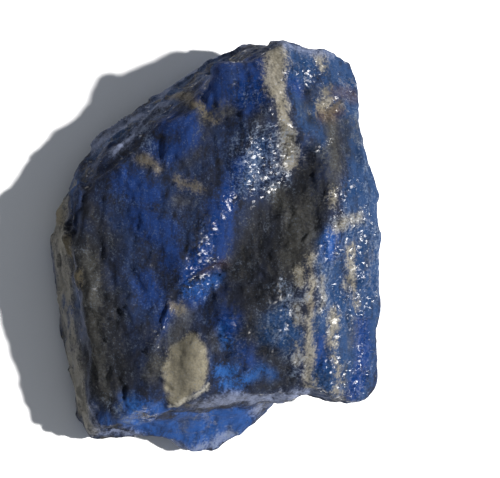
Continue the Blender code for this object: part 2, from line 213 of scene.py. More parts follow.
# Where each sort of rock shows at the surface, where the crystals are polished, and where sheen is painted:
# half width, and the places it runs through
rockMarks = {
    "tanVeins": {
        "veinBeside": (0.6, [(16.7, -7.4, 32), (17.2, -10.6, 31.1), (17.1, -12.9, 30.9)]),
        "veinLeft": (0.7, [(11.6, -5.9, 32.3), (12, -8.3, 32.4)]),
        "topVein": (2.3, [(9, 39.2, 26.2), (8.5, 34.8, 27.8), (8, 30.9, 29.4)]),
        "topVeinTail": (1.5, [
            (8.8, 28.9, 29.6), (9.4, 26, 30.4), (9.9, 22.8, 30.6), (10.9, 19, 29.5), (11.2, 16.1, 28.6),
        ]),
        "mainVeinUpper": (0.8, [(14, -3.1, 33.2), (14.3, -5.9, 33), (14.5, -9.4, 32.3), (14.4, -11.4, 32)]),
        "mainVein": (0.95, [
            (14.5, -12.4, 31.8), (14.6, -15.3, 30.8), (15, -18.9, 29.5), (15.3, -22.3, 28),
            (15.8, -25.7, 26.6), (16.4, -28.5, 25.5),
        ]),
        "shortVein": (1, [(19.9, -14.1, 29.4), (20.3, -17.3, 28.5), (20.3, -20.1, 27.9)]),
        "shortVeinTail": (0.6, [(20.6, -22.5, 27.5), (21.7, -24.9, 26.7), (22.9, -27.4, 25.9)]),
        "shortVeinFoot": (0.6, [(22, -29.8, 25.4), (26.4, -32.3, 13.7)]),
        "rightVein": (0.95, [(23.7, -1.1, 30.3), (23.7, -3.7, 29.8), (23.9, -6.4, 29.1), (23.9, -8.8, 28.6)]),
        "rightVeinTail": (0.6, [(24.8, -9.6, 28.3), (25.6, -12, 27.4)]),
        "rightPatch": (0.9, [(19.3, 2.9, 33.2), (21.8, 4.6, 32.2), (25.2, 5.2, 30.3)]),
        "rightDrip": (0.8, [(19.1, 10.1, 32.6), (19, 7.9, 32.9)]),
        "topRightPatch": (0.9, [(19, 38.8, 24.1), (19.5, 36.7, 24.5)]),
        "topRightDiagonal": (1, [(19.9, 31.6, 25.8), (20.1, 29.5, 26.3), (18, 27.6, 27.5)]),
        "paleStreakLow": (0.6, [(11.7, -12.6, 31.2), (12, -15.3, 30.5)]),
        "lowerStreak": (0.5, [(12.4, -20.3, 28.7), (12.9, -23.7, 27.2)]),
    },
    "goldStains": {
        "leftGold": (0.8, [(-11.6, 30.4, 10.3), (-9.2, 31.2, 12.7), (-7.7, 29.8, 20.1), (-6.9, 27.7, 23.6)]),
        "leftGoldTail": (0.35, [(-5.2, 25.1, 25.5), (-3.6, 24.4, 26.4)]),
        "middleGold": (0.8, [(-17.8, 16.7, 21.8), (-16.1, 15.8, 22.7), (-14.7, 14.6, 23.4)]),
        "middleGoldTail": (0.4, [(-11.4, 12.5, 25.1), (-9.9, 12, 25.5)]),
        "arcGold": (0.5, [(-10.6, 12, 25.3), (-8.4, 11.5, 26.1), (-6.8, 10.3, 27)]),
        "rimTanUpper": (1.1, [(-31.1, 7.4, 5.6), (-31.1, 5.2, 7.8)]),
        "rimTanLower": (1, [(-31.2, 0.7, 14.4), (-30.6, -1.7, 14.6)]),
        "rimTanFoot": (0.9, [(-29.5, -6.4, 17.8), (-29.3, -8.2, 17.4)]),
        "valleyTan": (0.5, [(-12.1, -12.6, 25.1), (-10.5, -13.2, 24.9)]),
        "arcUpper": (0.3, [(-6.9, 27.9, 23.5), (-5.6, 26.2, 24.9)]),
        "cornerGold": (0.8, [(17.3, 26.7, 28.1), (20.2, 26.9, 27.2), (22.7, 28.8, 26.3)]),
    },
    "rustStains": {
        "cornerRust": (1.6, [(22.1, 30.9, 25.7), (24.6, 31.5, 24.7), (26, 30.8, 24.5)]),
        "diagonalRust": (1.2, [(18.2, 25.9, 28), (20.1, 26, 27.5), (22.1, 27.4, 26.8)]),
        "valleyRust": (0.5, [(-5.7, -5.9, 26), (-3.4, -4.8, 25.8), (-1.7, -4.2, 25.9)]),
        "veinRust": (0.4, [(14.5, -12.4, 31.8), (14.7, -13, 31.6)]),
    },
    "darkRock": {
        "lumpGap": (0.8, [(-5.8, 24.9, 25.5), (-5.7, 21.5, 26.6), (-6.9, 18.3, 26.5), (-9.5, 15.5, 25.6)]),
        "rightNavy": (1.4, [(16.3, 11.4, 31.1), (16.4, 7.7, 31.9), (15.8, 4.1, 32.2)]),
        "rightNavyHigh": (1.2, [(23.7, 25, 27), (23.5, 19.1, 28.6)]),
        "plateauEdge": (4.2, [
            (-28.5, -1.5, 18.5), (-27.9, -9.4, 19.7), (-26.8, -17.3, 18.5), (-25.6, -25.2, 16.7),
            (-24, -30.2, 16.8),
        ]),
        "plateauLow": (3, [
            (-24.1, -11.4, 21.1), (-23.2, -17.3, 20.3), (-22.2, -23.2, 19.7), (-21.6, -28.2, 18.8),
        ]),
        "plateauHigh": (1.5, [(-27.4, 6.1, 18.9), (-25.9, 2.9, 19.4), (-23.2, -0.3, 20.3)]),
        "wallTop": (2.6, [(14.4, 13.7, 29), (13, 9.6, 29.6)]),
        "wallMiddle": (5, [(11.4, 7, 29.4), (10.5, 1.5, 30.6), (9.1, -3.9, 31.1)]),
        "wallLeft": (4, [(5.8, 4.2, 27.2), (3.6, -1, 27.5), (1.8, -5.4, 27.3)]),
        "wallLow": (3.6, [(6.6, -8.7, 31.1), (3.7, -11, 29.9), (0.6, -10.6, 27.8)]),
        "wallFoot": (2.2, [(3, -15, 29.3), (3.1, -18.5, 27.8)]),
        "lowerMottle": (1.8, [(6.1, -21.3, 27.4), (8.7, -22.9, 27.1), (10.7, -25.7, 26)]),
        "lowerRim": (1.6, [(6.7, -28.5, 24.1), (9.5, -28.1, 24.5), (12.2, -27.3, 25.4)]),
        "topDark": (0.7, [(4.8, 26.6, 30.4), (4.2, 24.2, 30.8), (4.8, 21.9, 30.4)]),
        "rightDark": (0.9, [(16.4, 30.8, 27.2), (14.7, 28.1, 28.3), (15.8, 24.9, 28.9)]),
        "rightOlive": (1.4, [(20, 25.2, 27.8), (20.9, 20.6, 28.8), (20.7, 15.8, 30.5)]),
        "aboveWall": (2, [(16.5, 18.7, 30.4), (15.5, 14.7, 29.6)]),
        "ledgeDark": (1.4, [(-22, -32.8, 17.2), (-21, -34.8, 16.5)]),
        "eggLeft": (2, [(-15.9, -18.3, 24.2), (-15.5, -21.6, 23.9), (-14.6, -24.4, 23.7)]),
        "crescent": (0.9, [(-7.1, 27, 24), (-4.6, 25.7, 25.5), (-1.6, 26, 26.9)]),
    },
    "oliveRock": {
        "lobeStreak": (0.4, [(-5.6, -31.6, 21.2), (-3.1, -34.9, 12)]),
        "lobeStreakTwo": (0.4, [(-5.7, -35.3, 11.3), (-5.1, -37.9, 8.8)]),
        "rightStreakOne": (0.7, [(24.9, -15.7, 27), (25.4, -20.3, 25.6)]),
        "rightStreakTwo": (0.7, [(22.7, -24.5, 26.4), (24.8, -31.5, 22.8)]),
        "rightStreakFour": (0.6, [(27, 0.8, 29.5), (27.6, -3.5, 28.5)]),
        "rightEdge": (0.7, [(26.1, 25.2, 26.4), (26.7, 21.4, 27.2)]),
        "rightColumn": (1.5, [(20.4, 24.8, 27.8), (20.3, 19.9, 29.2), (19.6, 14.7, 31.1), (19, 11.7, 32.2)]),
        "wallMiddle": (2.4, [(12.4, 5.3, 30.1), (11.5, 0.5, 31.4), (10.6, -3.1, 31.6)]),
        "wallRight": (1.6, [(14.3, 8.6, 30.6), (14.3, 2.5, 31.8), (13.5, -1.6, 33)]),
        "wallTop": (1.6, [(8.5, 10.6, 27.7), (9.6, 7.8, 28.4)]),
        "aboveEgg": (1.8, [(-9.6, -13.8, 24.7), (-9.9, -16.5, 24.4), (-11.5, -19.7, 24.1)]),
        "besideEgg": (1.4, [(-14.6, -24, 23.7), (-16, -26.4, 22.7)]),
        "plateauEdge": (2, [
            (-27.8, -3.9, 19), (-27.5, -11.4, 19.8), (-26.4, -18.5, 18.4), (-25.2, -25.6, 16.9),
        ]),
        "plateauFoot": (1.4, [(-24.1, -28, 17.2), (-23.6, -30, 17.1)]),
        "rimUpper": (2.2, [(-31.1, 7, 5.8), (-31.7, 1.5, 14), (-30.7, -3.6, 13)]),
        "rimLower": (2, [(-29.8, -9.2, 12.5), (-28.7, -17.3, 11.3), (-27.4, -25.3, 11.6)]),
        "belowLump": (1.2, [(-5.7, 25.3, 25.3), (-3.9, 24.9, 26.1), (-1.6, 26.5, 26.8)]),
        "eggFarRight": (0.8, [(-4, -18.1, 26.9), (-3.2, -20.9, 26.1)]),
        "middleSpot": (0.8, [(-11.3, 8.3, 25.5), (-9.2, 7.9, 26.2)]),
    },
    # partly painted sheen and painted reflection on the glinting facets and along the edges, partly pale mist
    # in the blue
    "paintedSheenAndMist": {
        "facet": (4.6, [(2.9, 18.3, 29.7), (5.6, 17.2, 29.3), (8, 19.3, 29.3)]),
        "facetLow": (2.6, [(1.5, 12.7, 29.1), (5.4, 12.1, 28.5), (8.8, 13.8, 28.3)]),
        "rightEdge": (1.2, [
            (26.3, 26.5, 25.8), (27.3, 19.3, 27.7), (28.4, 9, 29.2), (30.3, -1, 27.6),
            (31.6, -11.1, 25.2),
        ]),
        "rightPatch": (2, [(19.7, 3.7, 33.1), (22.8, 5.5, 31.5), (25.9, 4.4, 30.1)]),
        "wallFoot": (2.2, [(9.7, -9.1, 31.7), (11.8, -11, 31.7), (10.9, -13.8, 30.8)]),
        "rightInner": (2.2, [(16.4, -3.9, 32.9), (17.9, -9.4, 31), (17.1, -13.3, 30.8)]),
        "topLeft": (1.2, [(2.5, 29.6, 28.3), (3.9, 29.2, 29.2)]),
        "secondLump": (1.6, [(-16.9, 22.5, 18.6), (-15.1, 24.9, 16.3), (-13, 26.6, 16.4)]),
        "lobe": (1.4, [(-3, -41.8, 6), (1.6, -41, 6.4), (5, -38.1, 8.2)]),
        "lowerVein": (1.4, [(11.8, -21.7, 28), (12.9, -26.5, 25.9)]),
        "lowerCentre": (1.6, [(6.9, -14.9, 30.1), (8.9, -18.5, 29.1)]),
        "ledge": (1.4, [(-22.4, -32, 17.2), (-20.5, -33.6, 17.8), (-17.1, -35.4, 13.7)]),
        "secondEdge": (1, [(-15.9, 19.3, 21.8), (-16.3, 22, 19.7), (-14.5, 24.8, 17.1)]),
    },
    "glints": {
        "topBlueRight": (3.4, [(11.4, 36.4, 26.7), (13.9, 33.6, 26.8), (17, 35.6, 25.4)]),
        "topVein": (1.6, [(8.7, 36.1, 27.3), (9.2, 32.7, 28.4)]),
        "topLeft": (3, [(2.2, 30.1, 28), (4.3, 30, 29.2), (5, 28.3, 29.9)]),
        "corner": (2.6, [(24.9, 32.9, 24), (22, 30, 26), (17.9, 27.1, 27.7)]),
        "facet": (4.2, [(3.4, 18.3, 29.6), (5.6, 17.2, 29.3), (8.1, 18.9, 29.2)]),
        "facetLow": (2.4, [(1.4, 13.1, 29.1), (5, 11.7, 28.4), (8.4, 13, 28.2)]),
        "middleStep": (1.4, [(12.8, 17.1, 29), (15.7, 18.2, 30.3), (19, 20.1, 29.4)]),
        "stripHigh": (1.8, [(0.7, 11.2, 28.7), (-1.6, 7.6, 28.2)]),
        "strip": (2.1, [(-4.8, 3.6, 27.9), (-5.6, 0.4, 27.3), (-7, -2.8, 27.1)]),
        "stripFoot": (2, [(-7.8, -3.2, 27.1), (-5.5, -5.1, 26.2), (-8.8, -6.7, 26.2)]),
        "foldHighlight": (2.3, [(-9.1, -8.6, 25.8), (-5.7, -7.6, 25.5), (-2.5, -6, 25.5)]),
        "eggTop": (1.6, [(-1.9, -15, 28.1), (0, -16.5, 28.4), (-0.5, -19.3, 27.3)]),
        "edge": (0.7, [(-12.5, -13.4, 24.9), (-14, -16.5, 24.4), (-15.9, -20.1, 24.1)]),
        "rightUpper": (1.6, [(19, 9.3, 32.8), (22, 10.7, 31.6), (25.1, 12.5, 30.3)]),
        "rightMiddle": (4, [(19.1, -1.8, 32.4), (20.5, 0.6, 32.2), (22.9, 3.1, 31.5)]),
        "rightWide": (3.6, [(25.5, 3.6, 30.2), (26.3, -3.2, 29.2), (27.3, -9.2, 27.6)]),
        "rightLow": (4.4, [(20.1, -11.3, 29.6), (22.2, -15.3, 28.4), (24.7, -13.6, 27.3)]),
        "rightFoot": (4, [(20.1, -25.7, 27), (23.5, -26.6, 25.8), (26.1, -29.9, 23.4)]),
        "rightFootEdge": (2.4, [(27.9, -19.3, 24.5), (28.6, -24.6, 23.9), (28, -29.5, 23)]),
        "veinLeft": (1.8, [(12.7, -22.5, 27.7), (13.2, -25.7, 26.3)]),
        "lowerCentre": (3.2, [(8.2, -10.6, 31.4), (9.6, -17.3, 29.7), (7.5, -19.7, 28.3)]),
        "eggRight": (2.4, [(0.4, -20.5, 27), (-1.8, -17.7, 27.7), (1.7, -17.3, 28.2)]),
        "ledge": (1.8, [(-17.1, -33.6, 18.8), (-13.7, -35, 14.8)]),
        "lobe": (1.6, [(-1.9, -34.5, 13), (0.7, -36.7, 9.7)]),
    },
    "oliveDust": {
        "rim": (3.8, [
            (-31, 6.6, 4.1), (-31.7, 1, 9.5), (-31.6, -5.1, 9.1), (-30.4, -13.2, 7), (-29.2, -21.3, 7.6),
            (-27.4, -29.5, 7.4), (-26.3, -34.6, 8),
        ]),
        "rimHigh": (1.6, [(-29.2, 11.7, 8.7), (-30.3, 8.9, 8.2)]),
    },
    "vividBlue": {
        "upperLump": (3.9, [(-3.1, 34.6, 23.1), (-4.1, 31.1, 24.5), (-3.6, 28.2, 25.1)]),
        "secondLumpTop": (2.9, [(-11.8, 24.1, 23.3), (-9.3, 24, 24.9), (-8.2, 21.1, 26)]),
        "secondLumpFoot": (1.8, [(-14.5, 18.5, 22.6), (-12.1, 17.5, 24.6), (-10.2, 18.7, 25.3)]),
        "plateauBlue": (2.6, [(-20.7, 12.4, 21.5), (-18.8, 10.4, 22), (-16.2, 9.2, 23.2)]),
        "plateauMiddle": (2.6, [(-18.1, 4.8, 22.8), (-16, 2.8, 24), (-13.8, 2, 25)]),
        "plateauRight": (2, [(-12.7, -1.6, 25.6), (-12.3, -3.9, 25.6)]),
        "plateauTeal": (2.4, [(-17, -8.3, 23.3), (-15.9, -10.6, 23.8)]),
        "stripHead": (1.6, [(0.5, 15.4, 29.5), (-0.9, 12.3, 28.9), (-2, 9.1, 28.4)]),
        "strip": (2.6, [(-2.8, 6.3, 28.3), (-2.6, 2, 27.5), (-1.9, -1.5, 26.4)]),
        "stripFoot": (1.6, [(-5.7, -1.9, 27), (-7.7, -4.3, 26.8), (-9.6, -6.7, 26.4)]),
        "cornerTip": (1.6, [(-7.2, -10.6, 25), (-8.9, -11.8, 25)]),
        "edgeBlue": (1.6, [(-13.3, -13.8, 24.8), (-14.4, -16.9, 24.4), (-15.9, -19.7, 24.1)]),
        "lowerBlue": (2.6, [(-0.5, -10.6, 27.2), (-0.7, -13.8, 28.2), (-1.9, -16.5, 28.1)]),
        "lowerBlueRight": (1.6, [(2.4, -20.1, 27.2), (3.5, -23.2, 26.4)]),
        "belowVein": (1.5, [(17.8, -19.3, 28.7), (17.8, -23.7, 27.6)]),
        "topRightBlue": (1.8, [(12.8, 31.8, 27.6), (14.5, 30.7, 27.6)]),
        "topLeftBlue": (3.2, [(3.7, 36.6, 25.7), (3.4, 32.5, 28.1), (2.8, 28.4, 28.8)]),
        "rightPatchBlue": (1.6, [(18.9, 0.9, 33), (18.1, -2.3, 32.8)]),
        "rightLowBlue": (2.2, [
            (27.1, -16.5, 25.7), (28.5, -21.3, 24.1), (27.8, -27, 23.7), (25.7, -30.3, 23.5),
        ]),
    },
    "brightBlue": {
        "ledgeTop": (2.4, [(-20.7, -31.6, 18.4), (-17.2, -33.2, 19.4), (-13.1, -33.7, 17.7)]),
        "ledge": (3, [(-18.9, -34.9, 16), (-13.4, -36.3, 9.8), (-9.5, -37.2, 9.6)]),
        "ledgeCorner": (1.6, [(-24.9, -32.1, 15.2), (-23.2, -35.3, 15.3)]),
        "lobe": (5, [(-5.8, -40.1, 6.8), (-0.7, -38.4, 8.5), (4.4, -35.9, 10.5)]),
        "lobeTop": (2.6, [(-6, -34.8, 12.4), (-1.5, -35.4, 11.3), (2.8, -34.5, 13)]),
        # painted highlight: a brighter blue band along the fold
        "foldHighlight": (1.1, [(-8.6, -9.8, 25.4), (-5.7, -8.4, 25.3), (-2.8, -6.6, 25.4)]),
        "rightSpot": (1.6, [(17.9, 1.3, 33.4), (17.6, -1.5, 33.1)]),
    },
    "steelBlue": {
        "rightUpper": (3.6, [(26, 27.3, 25.7), (26.2, 21.4, 27.3), (26.8, 14.7, 29.1)]),
        "rightUpperInner": (1.6, [(18, 22.9, 28.7), (17, 18.7, 30.3)]),
        "rightMiddle": (6, [(26.9, 8.9, 29.9), (27, 0.8, 29.5), (28.1, -7.2, 27.7)]),
        "rightInner": (3.6, [(18, -0.3, 33.2), (18.5, -5.4, 31.7), (19.6, -10.5, 29.9)]),
        "rightLow": (7, [(25.9, -15.2, 26.6), (25.4, -21.3, 25.4), (24.7, -27.4, 24.9)]),
        "rightCorner": (4, [(21.5, 37.8, 23.7), (24.2, 35, 23.3), (22.2, 31.7, 25.4)]),
        "topEdge": (3, [(12.8, 38.7, 25.2), (16.7, 37.3, 24.9)]),
        "rightTopMiddle": (3.2, [(13.9, 33.2, 26.9), (14.8, 29.4, 27.9), (14.9, 24.8, 29.1)]),
        "upperFlank": (3, [
            (-24, 19.7, 9.3), (-20, 23.2, 12.2), (-13.5, 28.5, 11.1), (-6, 34.7, 8.2), (1.6, 40.2, 6.2),
        ]),
        "underVein": (3, [(17.3, -14.9, 30.3), (18.6, -27.3, 26.4)]),
        "lowerCentre": (3.4, [(6.5, -17.3, 29), (8.6, -15.3, 30.2), (11, -19.3, 29)]),
        "stripHead": (1.3, [(5, 19.2, 29.6), (3.1, 15.2, 29.2), (1.9, 12.4, 29)]),
    },
    "cyanBlue": {
        "eggRight": (1, [(-2.2, -25.2, 24.7), (0.2, -25.6, 24.9)]),
        "eggRightLow": (0.8, [(-1.1, -28.4, 23.9), (1.7, -28.6, 24.2)]),
        "eggRightFar": (1, [(2.7, -27.2, 24.8), (5.2, -26.5, 25)]),
        "eggRightHigh": (0.8, [(6.2, -24.9, 25.8), (8.3, -25.7, 25.6)]),
        "eggRightTail": (1, [(8.5, -26.9, 24.9), (9.3, -26.5, 25.3)]),
        "lowerLeft": (0.7, [(-2.6, -17.3, 27.6), (-1.9, -20.1, 26.6)]),
        "ledge": (1.2, [(-19.6, -31.2, 19), (-18.3, -33.2, 18.9)]),
    },
    "eggBody": {
        "egg": (3, [(-8.3, -21.6, 25.9), (-8.2, -24.4, 25.5), (-8.2, -26.8, 24.7)]),
        "eggShoulder": (2.7, [(-9.9, -22.4, 25), (-10.5, -24.8, 24.3), (-10.4, -28, 23.1)]),
        "eggTip": (1.5, [(-8.2, -19.3, 25.5), (-8.8, -21.2, 25.5)]),
        "eggBase": (2, [(-9.8, -24.4, 24.7), (-8.9, -28.4, 23.8)]),
        "eggFoot": (1.6, [(-8.4, -28.4, 24), (-9.4, -30, 22.4), (-10.1, -31.2, 21.4)]),
    },
    "paleLip": {
        "eggLip": (0.45, [
            (-10.7, -32.6, 19.5), (-9.5, -31.6, 21.3), (-7.7, -30.8, 22.1), (-5.9, -29.6, 23.4),
            (-4.5, -28.4, 23.9),
        ]),
    },
    "greyVeil": {
        "upperFlank": (2.6, [(-23.6, 21.7, 6.4), (-20.9, 23.6, 8.4), (-17.9, 25.5, 10.3), (-15, 27.7, 10.4)]),
        "upperLedge": (1.3, [
            (-21.9, 18.8, 17.5), (-19.2, 20.9, 18), (-16.5, 23.5, 17.1), (-14.1, 26.2, 15.7),
            (-11.7, 29, 14.2),
        ]),
        "topFlank": (1.9, [
            (-10.7, 31.6, 8.2), (-7.7, 34, 6.7), (-4, 36.7, 7.3), (-0.1, 39.3, 6.4), (3.5, 41.3, 8.1),
            (7, 42.8, 10.8),
        ]),
        "bayFlank": (2.6, [
            (-3.7, -32.1, 19.6), (1.1, -31.3, 21.8), (6.9, -31.5, 19.2), (11.5, -30.6, 21.1),
            (15.5, -30.2, 21.7),
        ]),
        "bayFoot": (1.6, [(9.7, -33.8, 11.5), (12.3, -32.4, 17.1)]),
        "ledgeFoot": (0.6, [
            (-25.2, -37.6, 8.7), (-21.4, -38, 8.6), (-19, -37.5, 9), (-16.3, -38.4, 7.9),
            (-12.8, -38.9, 5.4), (-9.7, -39.5, 5.1),
        ]),
        "lobeFoot": (1.2, [(-7, -40.5, 4.7), (-3.3, -42.3, 5.4), (0.8, -41.5, 6.2), (4.4, -39, 7.5)]),
        "cornerLump": (1.6, [(-25.9, -33.3, 12.5), (-25, -36.2, 12)]),
        "topRim": (0.7, [(9.6, 42.3, 14.7), (11.2, 40.7, 24.9), (17.1, 39.8, 23.9), (21.7, 39.5, 23)]),
    },
}


def fineSkin(node):
    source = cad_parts[node]
    mesh = source.data.copy()
    shape = bmesh.new()
    shape.from_mesh(mesh)
    bmesh.ops.remove_doubles(shape, verts=shape.verts[:], dist=stoneSkin["weld"] * mm)
    shape.to_mesh(mesh)
    shape.free()
    skin = bpy.data.objects.new("lapisStone", mesh)
    bpy.context.scene.collection.objects.link(skin)
    remesh = skin.modifiers.new("skin", "REMESH")
    remesh.mode = "VOXEL"
    remesh.voxel_size = stoneSkin["grid"] * mm
    rounding = skin.modifiers.new("rounding", "SMOOTH")
    rounding.factor = 0.5
    rounding.iterations = stoneSkin["rounding"]
    keepResult(skin)
    return skin


def keepResult(piece):
    evaluated = piece.evaluated_get(bpy.context.evaluated_depsgraph_get())
    mesh = bpy.data.meshes.new_from_object(evaluated)
    piece.modifiers.clear()
    piece.data = mesh


def readPoints(mesh):
    values = np.empty(len(mesh.vertices) * 3)
    mesh.vertices.foreach_get("co", values)
    return values.reshape(-1, 3) / mm


def readNormals(mesh):
    values = np.empty(len(mesh.vertices) * 3)
    mesh.vertex_normals.foreach_get("vector", values)
    return values.reshape(-1, 3)


def wander(points):
    size, reach = stoneSkin["waverSize"], stoneSkin["waver"]
    noise.seed_set(stoneSkin["waverSeed"])
    moves = [noise.turbulence_vector(Vector(point) / size, 3, False) for point in points]
    return points + reach * np.array(moves)


def alongPath(points, path):
    # distance to a path, and the offset from its nearest piece with that piece's direction
    best = np.full(len(points), farAway)
    offset = np.zeros((len(points), 3))
    heading = np.zeros((len(points), 3))
    corners = np.array(path, float)
    for start, end in zip(corners[:-1], corners[1:]):
        run = end - start
        share = np.clip((points - start) @ run / (run @ run), 0.0, 1.0)
        away = points - start - share[:, None] * run
        distance = np.linalg.norm(away, axis=1)
        nearer = distance < best
        best = np.where(nearer, distance, best)
        offset[nearer] = away[nearer]
        heading[nearer] = run / np.linalg.norm(run)
    return best, offset, heading


def carveBreak(skin):
    mesh = skin.data
    points, normals = readPoints(mesh), readNormals(mesh)
    wandered = wander(points)
    height = np.zeros(len(points))
    for kind, rise, width, path in breakLines.values():
        distance, offset, heading = alongPath(wandered, path)
        if kind == "scarp":
            side = np.einsum("ij,ij->i", np.cross(heading, offset), normals)
            height += rise / 2 * np.tanh(side / stoneSkin["stepWidth"]) * np.exp(-distance / width)
        else:
            sign = 1 if kind in ("ridge", "bump") else -1
            height += sign * rise * np.exp(-((distance / width) ** 2))
    footing = np.clip(points[:, 2] / stoneSkin["footFade"], 0.0, 1.0)
    points += normals * (height * footing)[:, None]
    mesh.vertices.foreach_set("co", (points * mm).ravel())
    giveValues(mesh, "carving", height)
    giveValues(mesh, "upright", np.clip(normals[:, 2], -1.0, 1.0))
    for mark, strokes in rockMarks.items():
        depth = np.full(len(points), outside)
        for reach, path in strokes.values():
            depth = np.maximum(depth, reach - alongPath(wandered, path)[0])
        giveValues(mesh, mark, depth)
    mesh.update()


def giveValues(mesh, name, values):
    layer = mesh.attributes.new(name, "FLOAT", "POINT")
    layer.data.foreach_set("value", values.astype(np.float32))


class Wire:
    def __init__(self, bench, socket):
        self.bench, self.socket = bench, socket

    def other(self, name):
        return Wire(self.bench, self.socket.node.outputs[name])

    def __add__(self, other):
        return self.bench.maths("ADD", self, other)

    def __sub__(self, other):
        return self.bench.maths("SUBTRACT", self, other)

    def __rsub__(self, other):
        return self.bench.maths("SUBTRACT", other, self)

    def __mul__(self, other):
        return self.bench.maths("MULTIPLY", self, other)

    def __truediv__(self, other):
        return self.bench.maths("DIVIDE", self, other)

    def __rtruediv__(self, other):
        return self.bench.maths("DIVIDE", other, self)

    def __abs__(self):
        return self.bench.maths("ABSOLUTE", self)

    __radd__ = __add__
    __rmul__ = __mul__


class NodeBench:
    def __init__(self, tree):
        self.tree = tree

    def add(self, kind, settings=None, sockets=None, take=0):
        made = self.tree.nodes.new(kind)
        for name, value in (settings or {}).items():
            setattr(made, name, value)
        self.feed(made, sockets or {})
        return Wire(self, made.outputs[take]) if made.outputs else None

    def feed(self, node, sockets):
        for name, value in sockets.items():
            if isinstance(value, Wire):
                self.tree.links.new(value.socket, node.inputs[name])
            else:
                node.inputs[name].default_value = value

    def maths(self, operation, *values):
        return self.add("ShaderNodeMath", {"operation": operation}, dict(enumerate(values)))

    def stretch(self, vector, factors):
        return self.add("ShaderNodeVectorMath", {"operation": "MULTIPLY"}, {0: vector, 1: factors})

    def step(self, value, low, high):
        sockets = {"Value": value, "From Min": low, "From Max": high}
        return self.add("ShaderNodeMapRange", {"interpolation_type": "SMOOTHSTEP"}, sockets)

    def cloud(self, vector, size, detail=4.0, roughness=0.6, seed=0.0):
        sockets = {"Vector": vector, "W": seed, "Scale": 1.0 / size}
        sockets.update({"Detail": detail, "Roughness": roughness})
        return self.add("ShaderNodeTexNoise", {"noise_dimensions": "4D"}, sockets)

    def facets(self, vector, size, seed=0.0, rounding=None):
        # small flat faces, each tilted its own way: the height, and a number from -0.5 to 0.5 per face
        vector = self.add("ShaderNodeVectorMath", {"operation": "ADD"}, {0: vector, 1: (seed, seed, seed)})
        sockets = {"Vector": vector, "Scale": 1.0 / size}
        if rounding:
            sockets["Smoothness"] = rounding
        cell = self.add("ShaderNodeTexVoronoi", {"feature": "SMOOTH_F1" if rounding else "F1"}, sockets)
        centre, colour = cell.other("Position"), cell.other("Color")
        away = self.add("ShaderNodeVectorMath", {"operation": "SUBTRACT"}, {0: vector, 1: centre})
        tilt = self.add("ShaderNodeVectorMath", {"operation": "SUBTRACT"}, {0: colour, 1: (0.5, 0.5, 0.5)})
        rise = self.add("ShaderNodeVectorMath", {"operation": "DOT_PRODUCT"}, {0: away, 1: tilt}, 1)
        return rise, self.add("ShaderNodeSeparateXYZ", None, {0: tilt}, 2)

    def blend(self, mask, under, over):
        return self.add("ShaderNodeMix", {"data_type": "RGBA"}, {0: mask, 6: under, 7: over}, 2)


# Roughness of the break, made by geometry nodes over the whole skin
brokenSkin = {
    "Plate Size": 5.0,
    "Plate Tilt": 0.18,
    "Chip Size": 2.1,
    "Chip Tilt": 0.20,
    "Side Size": 7.0,        # larger breaks, on the steep sides only
    "Side Tilt": 0.22,
    "Band Size": 1.7,
    "Band Depth": 0.20,
    "Grain Size": 1.5,
    "Grain Depth": 0.18,
    "Seed": 7.0,
}


def brokenSkinTree():
    tree = bpy.data.node_groups.new("brokenSkin", "GeometryNodeTree")
    tree.interface.new_socket("Geometry", in_out="INPUT", socket_type="NodeSocketGeometry")
    for name, value in brokenSkin.items():
        socket = tree.interface.new_socket(name, in_out="INPUT", socket_type="NodeSocketFloat")
        socket.default_value = value
    tree.interface.new_socket("Finish", in_out="INPUT", socket_type="NodeSocketMaterial")
    tree.interface.new_socket("Geometry", in_out="OUTPUT", socket_type="NodeSocketGeometry")
    bench = NodeBench(tree)
    given = bench.add("NodeGroupInput")
    wire = {output.name: Wire(bench, output) for output in given.socket.node.outputs}
    seed = wire["Seed"]
    position = bench.add("GeometryNodeInputPosition")
    place = bench.stretch(position, (1 / mm, 1 / mm, 1 / mm))
    along = bench.stretch(place, stoneSkin["bandStretch"])
    bands = bench.cloud(along, wire["Band Size"], 4.0, 0.6, seed)
    grain = bench.cloud(place, wire["Grain Size"], 4.0, 0.62, seed)
    height = (bands - 0.5) * wire["Band Depth"] + (grain - 0.5) * wire["Grain Depth"]
    longer = bench.stretch(place, stoneSkin["plateStretch"])
    height = height + bench.facets(longer, wire["Plate Size"], 3.0, 0.30)[0] * wire["Plate Tilt"]
    height = height + bench.facets(longer, wire["Chip Size"], 5.0, 0.30)[0] * wire["Chip Tilt"]
    normal = bench.add("GeometryNodeInputNormal")
    steep = bench.step(bench.add("ShaderNodeSeparateXYZ", None, {0: normal}, 2), 0.55, 0.15)
    height = height + steep * bench.facets(place, wire["Side Size"], 8.0, 0.25)[0] * wire["Side Tilt"]
    pale = bench.add("GeometryNodeInputNamedAttribute", {"data_type": "FLOAT"}, {"Name": "eggBody"})
    height = height * (1.0 - bench.step(pale, -0.6, 0.8) * 0.6)
    level = bench.add("ShaderNodeSeparateXYZ", None, {0: place}, 2)
    height = height * bench.step(level, 0.1, stoneSkin["footFade"])
    push = bench.add("ShaderNodeVectorMath", {"operation": "SCALE"}, {0: normal, "Scale": height * mm})
    moved = bench.add("GeometryNodeSetPosition", None, {"Geometry": wire["Geometry"], "Offset": push})
    stored = bench.add(
        "GeometryNodeStoreNamedAttribute",
        {"data_type": "FLOAT", "domain": "POINT"},
        {"Geometry": moved, "Name": "relief", "Value": height},
    )
    real = bench.add("GeometryNodeRealizeInstances", None, {0: stored})
    dressed = bench.add("GeometryNodeSetMaterial", None, {"Geometry": real, "Material": wire["Finish"]})
    bench.add("NodeGroupOutput", None, {"Geometry": dressed})
    return tree


